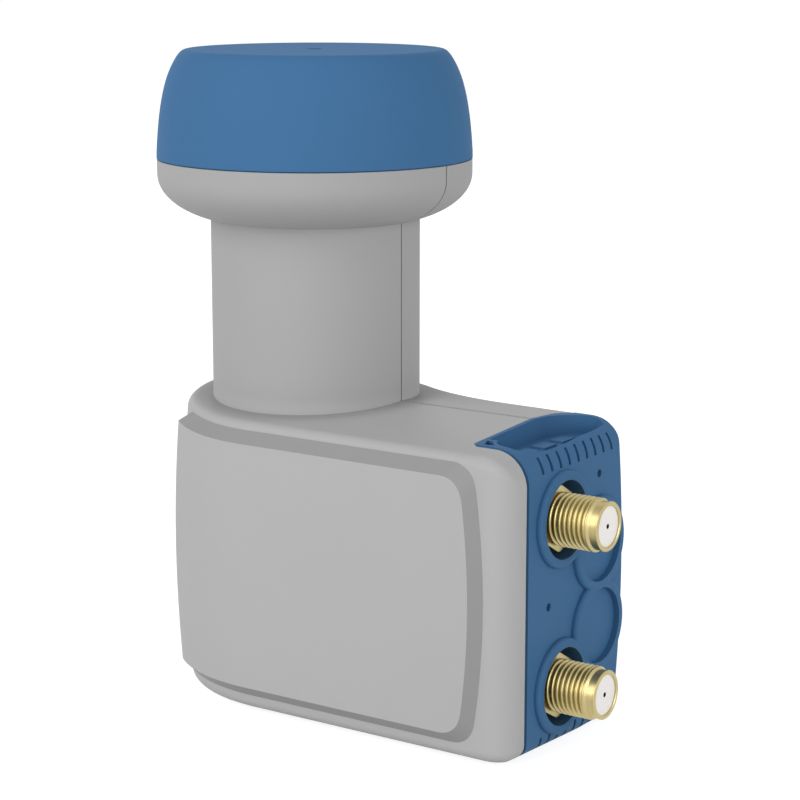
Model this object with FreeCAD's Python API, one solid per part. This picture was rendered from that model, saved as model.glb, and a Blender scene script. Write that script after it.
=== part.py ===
import FreeCAD, Part
import math
import os

from FreeCAD import Vector

# Housing, in millimetres, with the neck axis on Z and the broad face towards -Y
bodyHeight = 58.0
frontDepth = 26.9
rearDepth = 12.4
waistDepth = 13.2
endReach = 60.4
lobeRadius = 24.8
noseBlend = 30.0
waistBlend = 45.0
frontCorner = 5.0
rearCorner = 3.2
frontCrown = 0.5
lobeCrown = 1.3
rearCrown = 2.5
topDraft = 3.3
baseDraft = 2.5
topBend = 6.5
baseBend = 2.8
edgeRound = 2.2
wall = 2.0

# Raised panel on the broad face
panelRise = 2.0
panelLow = 4.0
panelHigh = 55.0
panelReach = 53.2
panelBow = 3.0
panelCorner = 7.0
panelTail = 19.8
panelFoot = 0.8

# Neck, collar and cap
neckRadius = 20.0
neckWall = 1.8
collarRadius = 30.0
collarSpring = 13.5
collarDepth = 9.2
collarWall = 2.2
seamHeight = 103.0
collarRise = 2.8
shelfThick = 1.8
shelfRise = 0.8
shelfRadius = 22.5
spigotWall = 1.7
spigotRise = 4.0
spigotGap = 0.3
sealRadius = 28.3
sealWidth = 0.8
sealHeight = 1.2
sealRise = 1.5
capWall = 1.6
capProfile = ((0.05, 0.0), (-0.1, 3.2), (-0.65, 8.5), (-1.4, 12.6), (-2.43, 16.0), (-3.5, 18.25),
              (-4.4, 19.6), (-5.7, 20.45))
seamRelief = 0.45
gateRadius = 1.6
gateDepth = 0.25

# Gaps between pieces
shellGap = 0.3
coverGap = 0.1
fitGap = 0.1

# Connector cover
coverLength = 11.7
coverSide = 20.0
lipLength = 6.4
coverWall = 2.0
coverRound = 1.4
coverCorner = 1.6
coverTip = 0.6
coverDrop = 7.8
pocketDrop = 4.0
pocketRim = 0.8
pocketEdge = ((9.1, -15.8), (5.8, -18.6), (3.5, -17.7), (2.2, -13.5), (1.7, -6.6), (1.7, -1.3),
              (2.6, 10.8), (4.4, 11.3), (8.1, 8.9))
tipEdge = ((10.8, -16.6), (9.8, -16.6), (7.8, -18.9), (10.0, -19.1))
tipRaise = 0.6
pocketPads = ((8.2, 5.2, -11.6, -8.0, 0.4), (8.2, 5.2, -6.2, -2.0, 0.4), (8.0, 5.2, 0.2, 4.6, 0.4))
rimRound = 1.0
stepWall = 1.2
lipSlotTop = 3.4
slotCount = 9
slotFirst = -15.0
slotPitch = 3.04
slotWidth = 0.75
slotDepth = 0.9
slotTurns = (4.0, 33.5)
pinholeRadius = 0.75
pinholes = ((4.7, 48.3), (-12.9, 27.25))

# Ports in the cover
portSide = -8.7
portLow = 11.55
portHigh = 42.6
portHole = 7.2
portRing = 8.9
sleeveRadius = 8.5
sleeveLength = 4.7
ringRise = 1.1
ringRound = 0.75
blankSide = 4.1
blankLow = 19.8
blankHigh = 35.4
blankRecess = 7.1
blankRing = 8.9
blankDepth = 1.2

# Threaded connectors, 3/8-32 thread with an 11 mm hex
threadRadius = 4.76
connectorReach = 9.7
noseLength = 1.6
noseRadius = 4.45
noseBevel = 0.25
hexAcross = 11.0
hexInset = 0.3
hexLength = 4.5
shankRadius = 4.3
shankLength = 4.4
shankBore = 1.6
insulatorRadius = 3.7
insulatorRecess = 0.35
insulatorDepth = 12.0
contactRadius = 0.4
contactRecess = 3.0
contactInset = 16.4
washerThick = 0.6
washerRadius = 5.9

# Cast chassis
guideRadius = 9.4
guideWall = 2.6
guideLow = 8.0
hornLength = 9.8
hornMouth = 14.0
hornRadius = 15.2
hornRise = 9.2
plateRadius = 25.6
plateThick = 1.6
ringRadii = (17.2, 20.8, 24.4)
ringWall = 1.2
flangeRadius = 18.0
flangeThick = 1.6
flangeHeights = (62.0, 84.0)
hornRingRise = 8.6
trayLeft = -4.4
trayLow = 5.2
trayHigh = 48.6
trayBack = -11.4
trayFloor = 1.6
trayWall = 1.8
lidFace = -22.4
lidThick = 1.2
gasketThick = 0.5
boardBack = -15.0
boardThick = 0.8
boardGap = 0.3
bulkheadThick = 3.2
bulkheadRear = -1.4
postRadius = 2.4
frontPosts = ((0.15, 0.18), (0.72, 0.14), (0.15, 0.86), (0.72, 0.88))
rearPosts = ((0.48, 0.2), (0.48, 0.86))
ledge = 2.0
screwBoss = 2.6
lidScrewBite = 4.5
solderStub = 0.6

# Pieces on the board and in the guide, places as shares of the tray
probeRadius = 0.6
probeReach = 3.6
bushRadius = 2.0
crossHeight = 38.0
sideHeight = 22.0
sideTurn = 15.8
isolationHeight = 30.0
isolationRadius = 0.9
isolationSeat = 1.6
screwRadius = 1.1
screwHead = 2.1
screwHeadThick = 1.1
lidScrewInset = 3.1
puckRadius = 2.9
puckThick = 2.2
puckPlaces = ((0.58, 0.23), (0.58, 0.82))
tunerRadius = 2.2
tunerGap = 0.6
transistorPlaces = ((0.13, 0.76), (0.24, 0.76), (0.34, 0.52), (0.43, 0.6))
transistorSize = (1.9, 0.9, 1.9)
chipPlace = (0.58, 0.53)
chipSize = (5.0, 1.0, 5.0)
regulatorPlace = (0.78, 0.5)
regulatorSize = (6.5, 1.7, 6.0)
capacitorSize = (1.6, 0.8, 0.9)
capacitorRows = ((0.69, 0.65, 4), (0.5, 0.34, 6))
capacitorPitch = 2.6

bodyMiddle = bodyHeight / 2
collarCentre = seamHeight - collarRise
capHeight = seamHeight + capProfile[-1][1]
hornTop = seamHeight + shelfRise + hornRise
hornStart = seamHeight + shelfRise - hornLength
ringTop = seamHeight + shelfRise + hornRingRise
coverStart = endReach - coverLength
coverUnder = endReach - lipLength
coverBase = bodyHeight - coverDrop
pocketFloor = bodyHeight - pocketDrop
pocketLeft = coverStart + pocketRim
sleeveBack = endReach - sleeveLength
connectorTip = endReach + connectorReach
hexFace = endReach - hexInset
hexBack = hexFace - hexLength
contactTurn = endReach - contactInset
spigotRadius = collarRadius - capWall - spigotGap
shelfTop = seamHeight + shelfRise
bulkheadFace = hexBack - washerThick
bulkheadBack = bulkheadFace - bulkheadThick
boardFace = boardBack - boardThick
lidBack = lidFace + lidThick
gasketBack = lidBack + gasketThick
ports = {"upper": portHigh, "lower": portLow}


def box(x0, x1, y0, y1, z0, z1):
    return Part.makeBox(x1 - x0, y1 - y0, z1 - z0, Vector(x0, y0, z0))


def block(size, x, y, z):
    """Box of the given size standing on the board face at (x, z)."""
    return box(x - size[0] / 2, x + size[0] / 2, y - size[1], y, z - size[2] / 2, z + size[2] / 2)


def onTray(share):
    """Point on the board tray from its shares of the tray's length and height."""
    across, up = share
    return trayLeft + across * (bulkheadFace - trayLeft), trayLow + up * (trayHigh - trayLow)


def rod(radius, start, end):
    axis = Vector(*end) - Vector(*start)
    return Part.makeCylinder(radius, axis.Length, Vector(*start), axis)


def arc(a, b, c):
    return Part.Arc(Vector(*a), Vector(*b), Vector(*c)).toShape()


def line(a, b):
    return Part.makeLine(Vector(*a), Vector(*b))


def spun(edges):
    """Solid of revolution about the neck axis from a closed chain of edges."""
    return Part.Face(Part.Wire(edges)).revolve(Vector(0, 0, 0), Vector(0, 0, 1), 360)


def turned(points):
    corners = [(r, 0, z) for r, z in points]
    return spun([line(a, b) for a, b in zip(corners, corners[1:] + corners[:1])])


def union(shapes):
    return shapes[0].multiFuse(shapes[1:]).removeSplitter()


def save(name, shape):
    solids = shape.Solids
    solid = solids[0] if len(solids) == 1 else Part.makeCompound(solids)
    solid.exportStep("parts/" + name + ".step")
    print(name, len(solids), "solid(s), valid", solid.isValid(), "volume %.0f" % solid.Volume)


def crownAt(height, crown):
    return crown * (1 - ((height - bodyMiddle) / bodyMiddle) ** 2)


def bodyPlan(height, offset, small):
    """Closed outline of the housing at one height, grown by offset, with tangent arcs."""
    front = frontDepth + crownAt(height, frontCrown) + offset
    rear = crownAt(height, rearCrown) + offset
    lobe = lobeRadius + crownAt(height, lobeCrown) + offset
    nose = noseBlend + offset
    noseY = nose - front
    noseX = math.sqrt((nose - lobe) ** 2 - noseY ** 2)
    waist = waistBlend - rear
    waistY = waistDepth + waistBlend
    waistX = math.sqrt((lobe + waist) ** 2 - waistY ** 2)
    end = endReach + offset
    corner = frontCorner + offset
    small = max(small + offset, 0.5)
    smallX = end - small
    smallY = rearDepth + rear - small
    cornerX = end - corner
    cornerY = corner - front

    def around(x, y, radius, degrees):
        turn = math.radians(degrees)
        return (x + radius * math.cos(turn), y + radius * math.sin(turn), height)

    noseTurn = math.degrees(math.atan2(-noseY, -noseX))
    lobeTurn = math.degrees(math.atan2(waistY, waistX))
    span = math.hypot(smallX - waistX, smallY - waistY)
    lean = math.degrees(math.atan2(smallY - waistY, smallX - waistX))
    leave = lean - math.degrees(math.acos((waist + small) / span))
    noseStart = (noseX, -front, height)
    noseEnd = around(noseX, noseY, nose, noseTurn)
    lobeEnd = around(0, 0, lobe, lobeTurn)
    waistEnd = around(waistX, waistY, waist, leave)
    smallStart = around(smallX, smallY, small, leave + 180)
    smallEnd = (end, smallY, height)
    cornerStart = (end, cornerY, height)
    cornerEnd = (cornerX, -front, height)
    return Part.Wire([
        line(cornerEnd, noseStart),
        arc(noseStart, around(noseX, noseY, nose, (noseTurn - 90) / 2), noseEnd),
        arc(noseEnd, around(0, 0, lobe, (noseTurn + lobeTurn) / 2 + 180), lobeEnd),
        arc(lobeEnd, around(waistX, waistY, waist, (lobeTurn - 180 + leave) / 2), waistEnd),
        line(waistEnd, smallStart),
        arc(smallStart, around(smallX, smallY, small, (leave + 180) / 2), smallEnd),
        line(smallEnd, cornerStart),
        arc(cornerStart, around(cornerX, cornerY, corner, -45), cornerEnd),
    ])


def crowned(offset, small):
    """Body-shaped block with crowned sides, a little taller than the housing."""
    heights = (-2, bodyMiddle, bodyHeight + 2)
    return Part.makeLoft([bodyPlan(z, offset, small) for z in heights], True, False)


def drafted(inset, side):
    """One half of the housing room, front or rear, with its drafted top and base."""
    far = 60.0
    high = bodyHeight - inset
    drop = far * math.tan(math.radians(topDraft))
    rise = far * math.tan(math.radians(baseDraft)) if side < 0 else 0
    corners = [(0, high), (side * far, high - drop), (side * far, inset + rise), (0, inset)]
    points = [Vector(-far, y, z) for y, z in corners]
    return Part.Face(Part.makePolygon(points + points[:1])).extrude(Vector(3 * far, 0, 0))


def bendCutter(bend, high, side):
    """What is cut off one half of an end edge to leave its bend."""
    reach = 70.0
    x = endReach - bend
    z = bodyHeight - bend if high else bend
    tool = box(x, x + 20, 0, reach, z if high else z - 20, z + 20 if high else z)
    tool = tool.cut(rod(bend, (x, -1, z), (x, reach + 1, z)))
    if side < 0:
        tool = tool.mirror(Vector(x, 0, z), Vector(0, 1, 0))
    low = -baseDraft if side < 0 else 0.0
    tilt = topDraft if high else low
    tool.rotate(Vector(x, 0, bodyHeight if high else 0), Vector(1, 0, 0), -tilt * side)
    return tool


def sharpEdges(shape, least):
    """Edges whose two faces turn by more than the given angle."""
    found = []
    for edge in shape.Edges:
        faces = shape.ancestorsOfType(edge, Part.Face)
        if len(faces) != 2:
            continue
        middle = edge.valueAt((edge.FirstParameter + edge.LastParameter) / 2)
        normals = [face.normalAt(*face.Surface.parameter(middle)) for face in faces]
        turn = math.degrees(normals[0].getAngle(normals[1]))
        if turn > least:
            found.append(edge)
    return found


def bodyHalf(side, small, rounding):
    """Solid outside form of the front or rear half, bends and edge rounding included."""
    block = crowned(0, small).common(drafted(0, side))
    if side > 0:
        block = rounded(block, rounding)
    block = block.cut(bendCutter(topBend, True, side))
    block = block.cut(bendCutter(baseBend, False, side))
    return rounded(block, rounding) if side < 0 else block


def rounded(block, rounding):
    edges = [edge for edge in sharpEdges(block, 30) if abs(edge.CenterOfMass.y) > 0.01]
    return block.makeFillet(rounding, edges)


def isHip(edge):
    """True for the short slanted edges where the panel's end slope meets its top and base slopes."""
    ends = [vertex.Point for vertex in edge.Vertexes]
    run = ends[0] - ends[-1]
    steps = (abs(run.x), abs(run.y), abs(run.z))
    return edge.CenterOfMass.x > panelReach - panelCorner and min(steps) > panelRise / 2


def panelPlan(height, offset, draft):
    """Outline of the panel's room, leaning by a draft about its front line."""
    lean = math.tan(math.radians(draft))
    shear = FreeCAD.Matrix()
    shear.A32 = lean
    shear.A34 = lean * frontDepth
    return bodyPlan(height, offset, frontCorner).transformGeometry(shear)


def panel():
    """Raised field that follows the broad face, leans with the drafts and wraps round the lobe."""
    half = (panelHigh - panelLow) / 2
    middle = panelLow + half
    base = panelPlan(panelLow + panelRise, panelRise, -baseDraft)
    top = panelPlan(panelHigh - panelRise, panelRise, topDraft)
    field = union([
        Part.makeLoft([panelPlan(panelLow - panelFoot, -panelFoot, -baseDraft), base], True, True),
        Part.makeLoft([base, panelPlan(middle, panelRise, 0), top], True, False),
        Part.makeLoft([top, panelPlan(panelHigh + panelFoot, -panelFoot, topDraft)], True, True),
    ])
    limits = []
    reach = half + 2 * panelRise
    low = middle - reach
    high = middle + reach
    for inset in (3 * panelRise, -3 * panelRise):
        depth = -frontDepth + inset
        crest = panelReach + panelBow + inset
        right = crest - panelBow * (reach / half) ** 2
        bow = arc((right, depth, low), (crest, depth, middle), (right, depth, high))
        limits.append(Part.Wire([bow, line((right, depth, high), (-80, depth, high)),
                                 line((-80, depth, high), (-80, depth, low)),
                                 line((-80, depth, low), (right, depth, low))]))
    field = field.common(Part.makeLoft(limits, True, True))
    field = field.cut(box(endReach / 2, 90, -frontDepth + frontCorner / 2, 60, -9, 70))
    hips = [edge for edge in sharpEdges(field, 40) if isHip(edge)]
    field = field.makeFillet(panelCorner, hips)
    corners = [Vector(-90, -90 + panelTail, -5), Vector(-90, 60, -5), Vector(90, 60, -5),
               Vector(90, -2, -5), Vector(-2 - panelTail, -2, -5)]
    return field.cut(Part.Face(Part.makePolygon(corners + corners[:1])).extrude(Vector(0, 0, 80)))


def collarArc(wallIn, least):
    """Elliptical underside of the collar, moved in by a wall, from its rim to the given radius."""
    wide = collarRadius - collarSpring - wallIn
    tall = collarDepth - wallIn
    centre = Vector(collarSpring, 0, collarCentre)
    ellipse = Part.Ellipse(centre + Vector(wide, 0, 0), centre - Vector(0, 0, tall), centre)
    turn = math.acos((least - collarSpring) / wide)
    return Part.ArcOfEllipse(ellipse, 0, turn).toShape(), collarCentre - tall * math.sin(turn)


def chain(points):
    return [line((a[0], 0, a[1]), (b[0], 0, b[1])) for a, b in zip(points, points[1:])]


def neckOutside():
    """Neck, collar and cap spigot as one turned solid without its bore."""
    under, z = collarArc(0, neckRadius)
    grooveLow = seamHeight + sealRise
    edges = chain([(neckRadius, z), (neckRadius, bodyHeight - 6), (0, bodyHeight - 6),
                   (0, seamHeight + spigotRise), (spigotRadius, seamHeight + spigotRise),
                   (spigotRadius, grooveLow + sealHeight),
                   (spigotRadius - sealWidth, grooveLow + sealHeight),
                   (spigotRadius - sealWidth, grooveLow), (spigotRadius, grooveLow),
                   (spigotRadius, seamHeight), (collarRadius, seamHeight),
                   (collarRadius, collarCentre)])
    return spun(edges + [under])


def neckInside():
    """Bore of the neck, hollow of the collar, shelf and inside of the spigot."""
    bore = neckRadius - neckWall
    under, z = collarArc(collarWall, bore)
    inner = collarRadius - collarWall
    edges = chain([(bore, z), (bore, bodyHeight - 8), (0, bodyHeight - 8),
                   (0, seamHeight + spigotRise + 1),
                   (spigotRadius - spigotWall, seamHeight + spigotRise + 1),
                   (spigotRadius - spigotWall, shelfTop), (shelfRadius, shelfTop),
                   (shelfRadius, shelfTop - shelfThick), (inner, shelfTop - shelfThick),
                   (inner, collarCentre)])
    return spun(edges + [under])


def coverSpace(gap):
    """Room that the connector cover takes out of the housing, grown by a gap."""
    far = 90.0
    left = coverStart - gap
    near = -coverSide - gap
    tip = coverTip
    plan = [
        line((left, near + tip, 0), (left, 6.5, 0)),
        arc((left, 6.5, 0), (left + 0.5, 9.0, 0), (left + 2, 11.0, 0)),
        line((left + 2, 11.0, 0), (left + 8, 22, 0)),
        line((left + 8, 22, 0), (far, 22, 0)),
        line((far, 22, 0), (far, near, 0)),
        line((far, near, 0), (left + tip, near, 0)),
        line((left + tip, near, 0), (left, near + tip, 0)),
    ]
    top = Part.Face(Part.Wire(plan)).extrude(Vector(0, 0, 20))
    top.translate(Vector(0, 0, coverBase - gap))
    end = box(endReach - coverWall - gap, far, near, 22, -9, 70)
    lip = box(coverUnder - gap, far, near, 22, -9, coverWall + gap)
    return union([top, end, lip])


def cavity():
    """Hollow inside the two shells, stepped round the connector cover."""
    block = crowned(-wall, rearCorner)
    inner = union([block.common(drafted(wall, side)) for side in (-1, 1)])
    inner = inner.cut(box(endReach - coverWall - coverGap - wall, 90, -50, 50, -9, 70))
    inner = inner.cut(box(coverStart - coverGap - stepWall, 90, -50, 50, coverBase - coverGap - stepWall, 70))
    return inner.cut(box(coverUnder - coverGap - stepWall, 90, -50, 50, -9, coverWall + coverGap + stepWall))


def isRim(edge):
    """True for the front shell's outside edges beside the connector cover."""
    ends = [vertex.Point.y for vertex in edge.Vertexes] + [edge.CenterOfMass.y]
    if max(abs(y + coverSide + coverGap) for y in ends) > 0.02:
        return False
    middle = edge.CenterOfMass
    top = middle.z > coverBase + coverDrop / 2 and middle.x > coverStart + 2 * coverTip
    base = middle.z < coverWall and middle.x > coverUnder + coverTip
    return top or base or middle.x > endReach - coverWall / 2


def frontBody():
    """Front half of the housing with the cover's room taken out and its rim rounded."""
    body = bodyHalf(-1, rearCorner, edgeRound).cut(coverSpace(coverGap))
    return body.makeFillet(rimRound, [edge for edge in body.Edges if isRim(edge)])


def shellHalf(side, hollow):
    """Front or rear shell with its half of the neck and collar."""
    if side < 0:
        outside = [frontBody(), panel()]
        posts = [rod(postRadius, (x, lidFace, z), (x, -frontDepth, z)) for x, z in map(onTray, frontPosts)]
    else:
        outside = [bodyHalf(side, rearCorner, edgeRound)]
        posts = [rod(postRadius, (x, trayBack, z), (x, lobeRadius, z)) for x, z in map(onTray, rearPosts)]
    room = box(-60, 90, -60, -shellGap, -9, 130) if side < 0 else box(-60, 90, 0, 60, -9, 130)
    shell = union(outside + [neckOutside()]).common(room)
    shell = shell.cut(hollow.cut(union(posts))).cut(coverSpace(coverGap))
    for height in ports.values():
        shell = shell.cut(rod(sleeveRadius + 2 * fitGap, (sleeveBack - fitGap, portSide, height),
                              (endReach + 5, portSide, height)))
    return shell


def capCurve(inset):
    """Side of the cap from its rim to the flat top, moved in by a wall."""
    places = [(collarRadius + r, seamHeight + z) for r, z in capProfile]
    curve = Part.BSplineCurve()
    curve.interpolate(Points=[Vector(r, 0, z) for r, z in places],
                      InitialTangent=Vector(0, 0, 1), FinalTangent=Vector(-1, 0, 0.15))
    if inset == 0:
        return curve.toShape()
    moved = []
    for share in range(9):
        turn = curve.FirstParameter + share / 8 * (curve.LastParameter - curve.FirstParameter)
        run = curve.tangent(turn)[0]
        moved.append(curve.value(turn) + Vector(-run.z, 0, run.x) * inset)
    inner = Part.BSplineCurve()
    inner.interpolate(moved)
    return inner.toShape()


def feedCap():
    outer = capCurve(0)
    inner = capCurve(capWall)
    outerLow = outer.valueAt(outer.FirstParameter)
    outerHigh = outer.valueAt(outer.LastParameter)
    innerLow = inner.valueAt(inner.FirstParameter)
    innerHigh = inner.valueAt(inner.LastParameter)
    top = [line(outerHigh, (0, 0, outerHigh.z)), line((0, 0, outerHigh.z), (0, 0, innerHigh.z)),
           line((0, 0, innerHigh.z), innerHigh)]
    cap = spun([outer] + top + [inner, line(innerLow, outerLow)])
    relief = tube(40, collarRadius - seamRelief, seamHeight - 1, seamHeight + seamRelief / 2)
    gate = rod(gateRadius, (0, 0, capHeight - gateDepth), (0, 0, capHeight + 1))
    return cap.cut(relief).cut(gate)


def tube(outer, inner, low, high):
    return rod(outer, (0, 0, low), (0, 0, high)).cut(rod(inner, (0, 0, low - 1), (0, 0, high + 1)))


def pocketPlan():
    points = [(pocketLeft, 4.0, pocketFloor), (pocketLeft, -15.8, pocketFloor)]
    points += [(endReach - back, y, pocketFloor) for back, y in pocketEdge]
    p = points
    return Part.Wire([line(p[0], p[1]), line(p[1], p[2]), arc(p[2], p[3], p[4]), arc(p[4], p[5], p[6]),
                      arc(p[6], p[7], p[8]), line(p[8], p[9]), arc(p[9], p[10], p[0])])


def coverSlots():
    """Row of short slots round the top bend and a second row round the base bend."""
    tools = []
    topX = endReach - topBend
    topZ = bodyHeight - topBend
    baseX = endReach - baseBend
    reach = 2 * topBend
    spread = [math.radians(turn) for turn in (slotTurns[0], sum(slotTurns) / 2, slotTurns[1])]
    for i in range(slotCount):
        y = slotFirst + i * slotPitch - slotWidth / 2
        points = [Vector(topX, y, topZ)]
        points += [Vector(topX + reach * math.cos(turn), y, topZ + reach * math.sin(turn)) for turn in spread]
        fan = Part.Face(Part.makePolygon(points + points[:1])).extrude(Vector(0, slotWidth, 0))
        tools.append(fan.cut(rod(topBend - slotDepth, (topX, y - 1, topZ), (topX, y + 2, topZ))))
        foot = box(baseX, endReach + 1, y, y + slotWidth, -1, lipSlotTop)
        foot = foot.cut(rod(baseBend - slotDepth, (baseX, y - 1, baseBend), (baseX, y + 2, baseBend)))
        foot = foot.cut(box(baseX - 1, endReach - slotDepth, y - 1, y + 2, baseBend, lipSlotTop + 1))
        tools.append(foot)
    return tools


def coverRing(radius, side, height):
    """Raised ring on the end face with a rounded outer edge."""
    top = endReach + ringRise
    ring = rod(radius, (endReach - coverWall, side, height), (top, side, height))
    return ring.makeFillet(ringRound, [edge for edge in ring.Edges if abs(edge.CenterOfMass.x - top) < 0.01])


def connectorCover():
    halves = [bodyHalf(side, coverCorner, coverRound) for side in (-1, 1)]
    cover = union(halves).common(coverSpace(0))
    plate = endReach - coverWall
    rings = []
    for height in (blankLow, blankHigh):
        rings.append(coverRing(blankRing, blankSide, height))
    for height in ports.values():
        rings.append(coverRing(portRing, portSide, height))
        rings.append(rod(sleeveRadius, (sleeveBack, portSide, height), (plate, portSide, height)))
    cover = union([cover] + rings)
    cuts = coverSlots()
    cuts.append(Part.Face(pocketPlan()).extrude(Vector(0, 0, 20)))
    for height in ports.values():
        cuts.append(rod(portHole, (sleeveBack - 1, portSide, height), (endReach + 5, portSide, height)))
    for height in (blankLow, blankHigh):
        start = endReach + ringRise - blankDepth
        cuts.append(rod(blankRecess, (start, blankSide, height), (endReach + 5, blankSide, height)))
    for y, z in pinholes:
        cuts.append(rod(pinholeRadius, (plate - 1, y, z), (endReach + 5, y, z)))
    tip = [Vector(endReach - back, y, pocketFloor + tipRaise) for back, y in tipEdge]
    cuts.append(Part.Face(Part.makePolygon(tip + tip[:1])).extrude(Vector(0, 0, 20)))
    for tool in cuts:
        cover = cover.cut(tool)
    pads = [box(endReach - start, endReach - stop, near, far, pocketFloor - stepWall / 2, pocketFloor + rise)
            for start, stop, near, far, rise in pocketPads]
    return union([cover] + pads)


def connectorBody(height):
    """Gold body turned about its own axis, with hex, thread length and shank."""
    centre = (portSide, height)
    thread = alongX(threadRadius, hexFace, connectorTip - noseLength, centre)
    nose = alongX(noseRadius, connectorTip - noseLength, connectorTip, centre)
    rim = [edge for edge in nose.Edges if abs(edge.CenterOfMass.x - connectorTip) < 0.01]
    nose = nose.makeChamfer(noseBevel, rim)
    corner = hexAcross / 2 / math.cos(math.radians(30))
    points = []
    for i in range(6):
        turn = math.radians(60 * i)
        points.append(Vector(hexBack, portSide + corner * math.sin(turn), height + corner * math.cos(turn)))
    hexagon = Part.Face(Part.makePolygon(points + points[:1])).extrude(Vector(hexFace - hexBack, 0, 0))
    shank = alongX(shankRadius, hexBack - shankLength, hexBack, centre)
    body = union([thread, nose, hexagon, shank])
    body = body.cut(alongX(insulatorRadius, connectorTip - insulatorDepth, connectorTip + 1, centre))
    return body.cut(alongX(shankBore, hexBack - shankLength - 1, connectorTip, centre))


def alongX(radius, start, stop, centre):
    return rod(radius, (start, centre[0], centre[1]), (stop, centre[0], centre[1]))


def connectorInsulator(height):
    centre = (portSide, height)
    plug = alongX(insulatorRadius, connectorTip - insulatorDepth, connectorTip - insulatorRecess, centre)
    return plug.cut(alongX(contactRadius, 0, connectorTip, centre))


def connectorContact(height):
    """Centre contact that runs back behind the tray and turns to the board."""
    back = alongX(contactRadius, contactTurn, connectorTip - contactRecess, (portSide, height))
    elbow = Part.makeSphere(contactRadius, Vector(contactTurn, portSide, height))
    leg = rod(contactRadius, (contactTurn, portSide, height), (contactTurn, boardFace - solderStub, height))
    return union([back, elbow, leg])


def connectorSeal(height):
    centre = (portSide, height)
    ring = alongX(washerRadius, bulkheadFace, hexBack, centre)
    return ring.cut(alongX(shankRadius, bulkheadFace - 1, hexBack + 1, centre))


def lidPlaces():
    """Screw positions round the tray."""
    left = trayLeft + lidScrewInset
    right = bulkheadFace - bulkheadThick / 2
    low = trayLow + lidScrewInset
    high = trayHigh - lidScrewInset
    middle = (left + right) / 2
    return [(x, z) for x in (left, middle, right) for z in (low, high)]


def tray():
    """Open box for the board with its ledge, screw bosses and connector bulkhead."""
    floor = trayBack - trayFloor
    inside = (trayLeft + trayWall, bulkheadBack, trayLow + trayWall, trayHigh - trayWall)
    shell = box(trayLeft, bulkheadFace, gasketBack, trayBack, trayLow, trayHigh)
    room = box(inside[0], inside[1], gasketBack - 1, boardBack, inside[2], inside[3])
    well = box(inside[0] + ledge, inside[1] - ledge, boardBack - 1, floor, inside[2] + ledge, inside[3] - ledge)
    shell = shell.cut(room).cut(well)
    bosses = [rod(screwBoss, (x, floor, z), (x, gasketBack, z)) for x, z in lidPlaces()]
    bosses = union(bosses).common(box(trayLeft, bulkheadFace, gasketBack, floor, trayLow, trayHigh))
    bulkhead = box(bulkheadBack, bulkheadFace, floor, bulkheadRear, trayLow, trayHigh)
    return union([shell, bosses, bulkhead])


def hornRings():
    rings = [tube(radius + ringWall, radius, shelfTop, ringTop) for radius in ringRadii]
    plate = tube(plateRadius, hornMouth, shelfTop, shelfTop + plateThick)
    flanges = [tube(flangeRadius, guideRadius + 1, z, z + flangeThick) for z in flangeHeights]
    return rings + flanges + [plate]


def castChassis():
    """Casting that carries horn, waveguide, board tray and connectors in one piece."""
    outer = guideRadius + guideWall
    guide = turned([(0, guideLow), (outer, guideLow), (outer, hornStart + 2), (hornRadius, shelfTop),
                    (hornRadius, hornTop), (hornMouth, hornTop), (hornMouth, shelfTop + 0.5),
                    (guideRadius, hornStart), (guideRadius, guideLow + trayFloor), (0, guideLow + trayFloor)])
    chassis = union([guide] + hornRings() + [tray()])
    drills = [alongX(shankRadius + fitGap, bulkheadBack - 1, bulkheadFace + 1, (portSide, z)) for z in ports.values()]
    drills += [rod(bushRadius, (contactTurn, trayBack + 1, z), (contactTurn, boardBack, z)) for z in ports.values()]
    drills.append(rod(bushRadius, (0, -guideRadius + 1, crossHeight), (0, boardBack, crossHeight)))
    drills.append(rod(bushRadius, (guideRadius - 1, 0, sideHeight), (outer + 1, 0, sideHeight)))
    drills.append(rod(bushRadius, (sideTurn, trayBack + 1, sideHeight), (sideTurn, boardBack, sideHeight)))
    drills.append(rod(isolationRadius, (-guideRadius - isolationSeat, 0, isolationHeight),
                      (outer + 1, 0, isolationHeight)))
    drills += [rod(screwRadius, (x, gasketBack - 1, z), (x, gasketBack + lidScrewBite, z)) for x, z in lidPlaces()]
    for tool in drills:
        chassis = chassis.cut(tool)
    return chassis


def chamberLid():
    lid = box(trayLeft, bulkheadFace, lidFace, lidBack, trayLow, trayHigh)
    for x, z in lidPlaces():
        lid = lid.cut(rod(screwRadius + fitGap, (x, lidFace - 1, z), (x, lidBack + 1, z)))
    for x, z in map(onTray, puckPlaces):
        lid = lid.cut(rod(tunerRadius, (x, lidFace - 1, z), (x, lidBack + 1, z)))
    return lid


def lidGasket():
    ring = box(trayLeft, bulkheadFace, lidBack, gasketBack, trayLow, trayHigh)
    ring = ring.cut(box(trayLeft + trayWall, bulkheadBack, lidBack - 1, gasketBack + 1,
                        trayLow + trayWall, trayHigh - trayWall))
    pads = [rod(screwBoss, (x, lidBack, z), (x, gasketBack, z)) for x, z in lidPlaces()]
    ring = union([ring] + pads).common(box(trayLeft, bulkheadFace, lidBack, gasketBack, trayLow, trayHigh))
    for x, z in lidPlaces():
        ring = ring.cut(rod(screwRadius + fitGap, (x, lidBack - 1, z), (x, gasketBack + 1, z)))
    return ring


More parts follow.
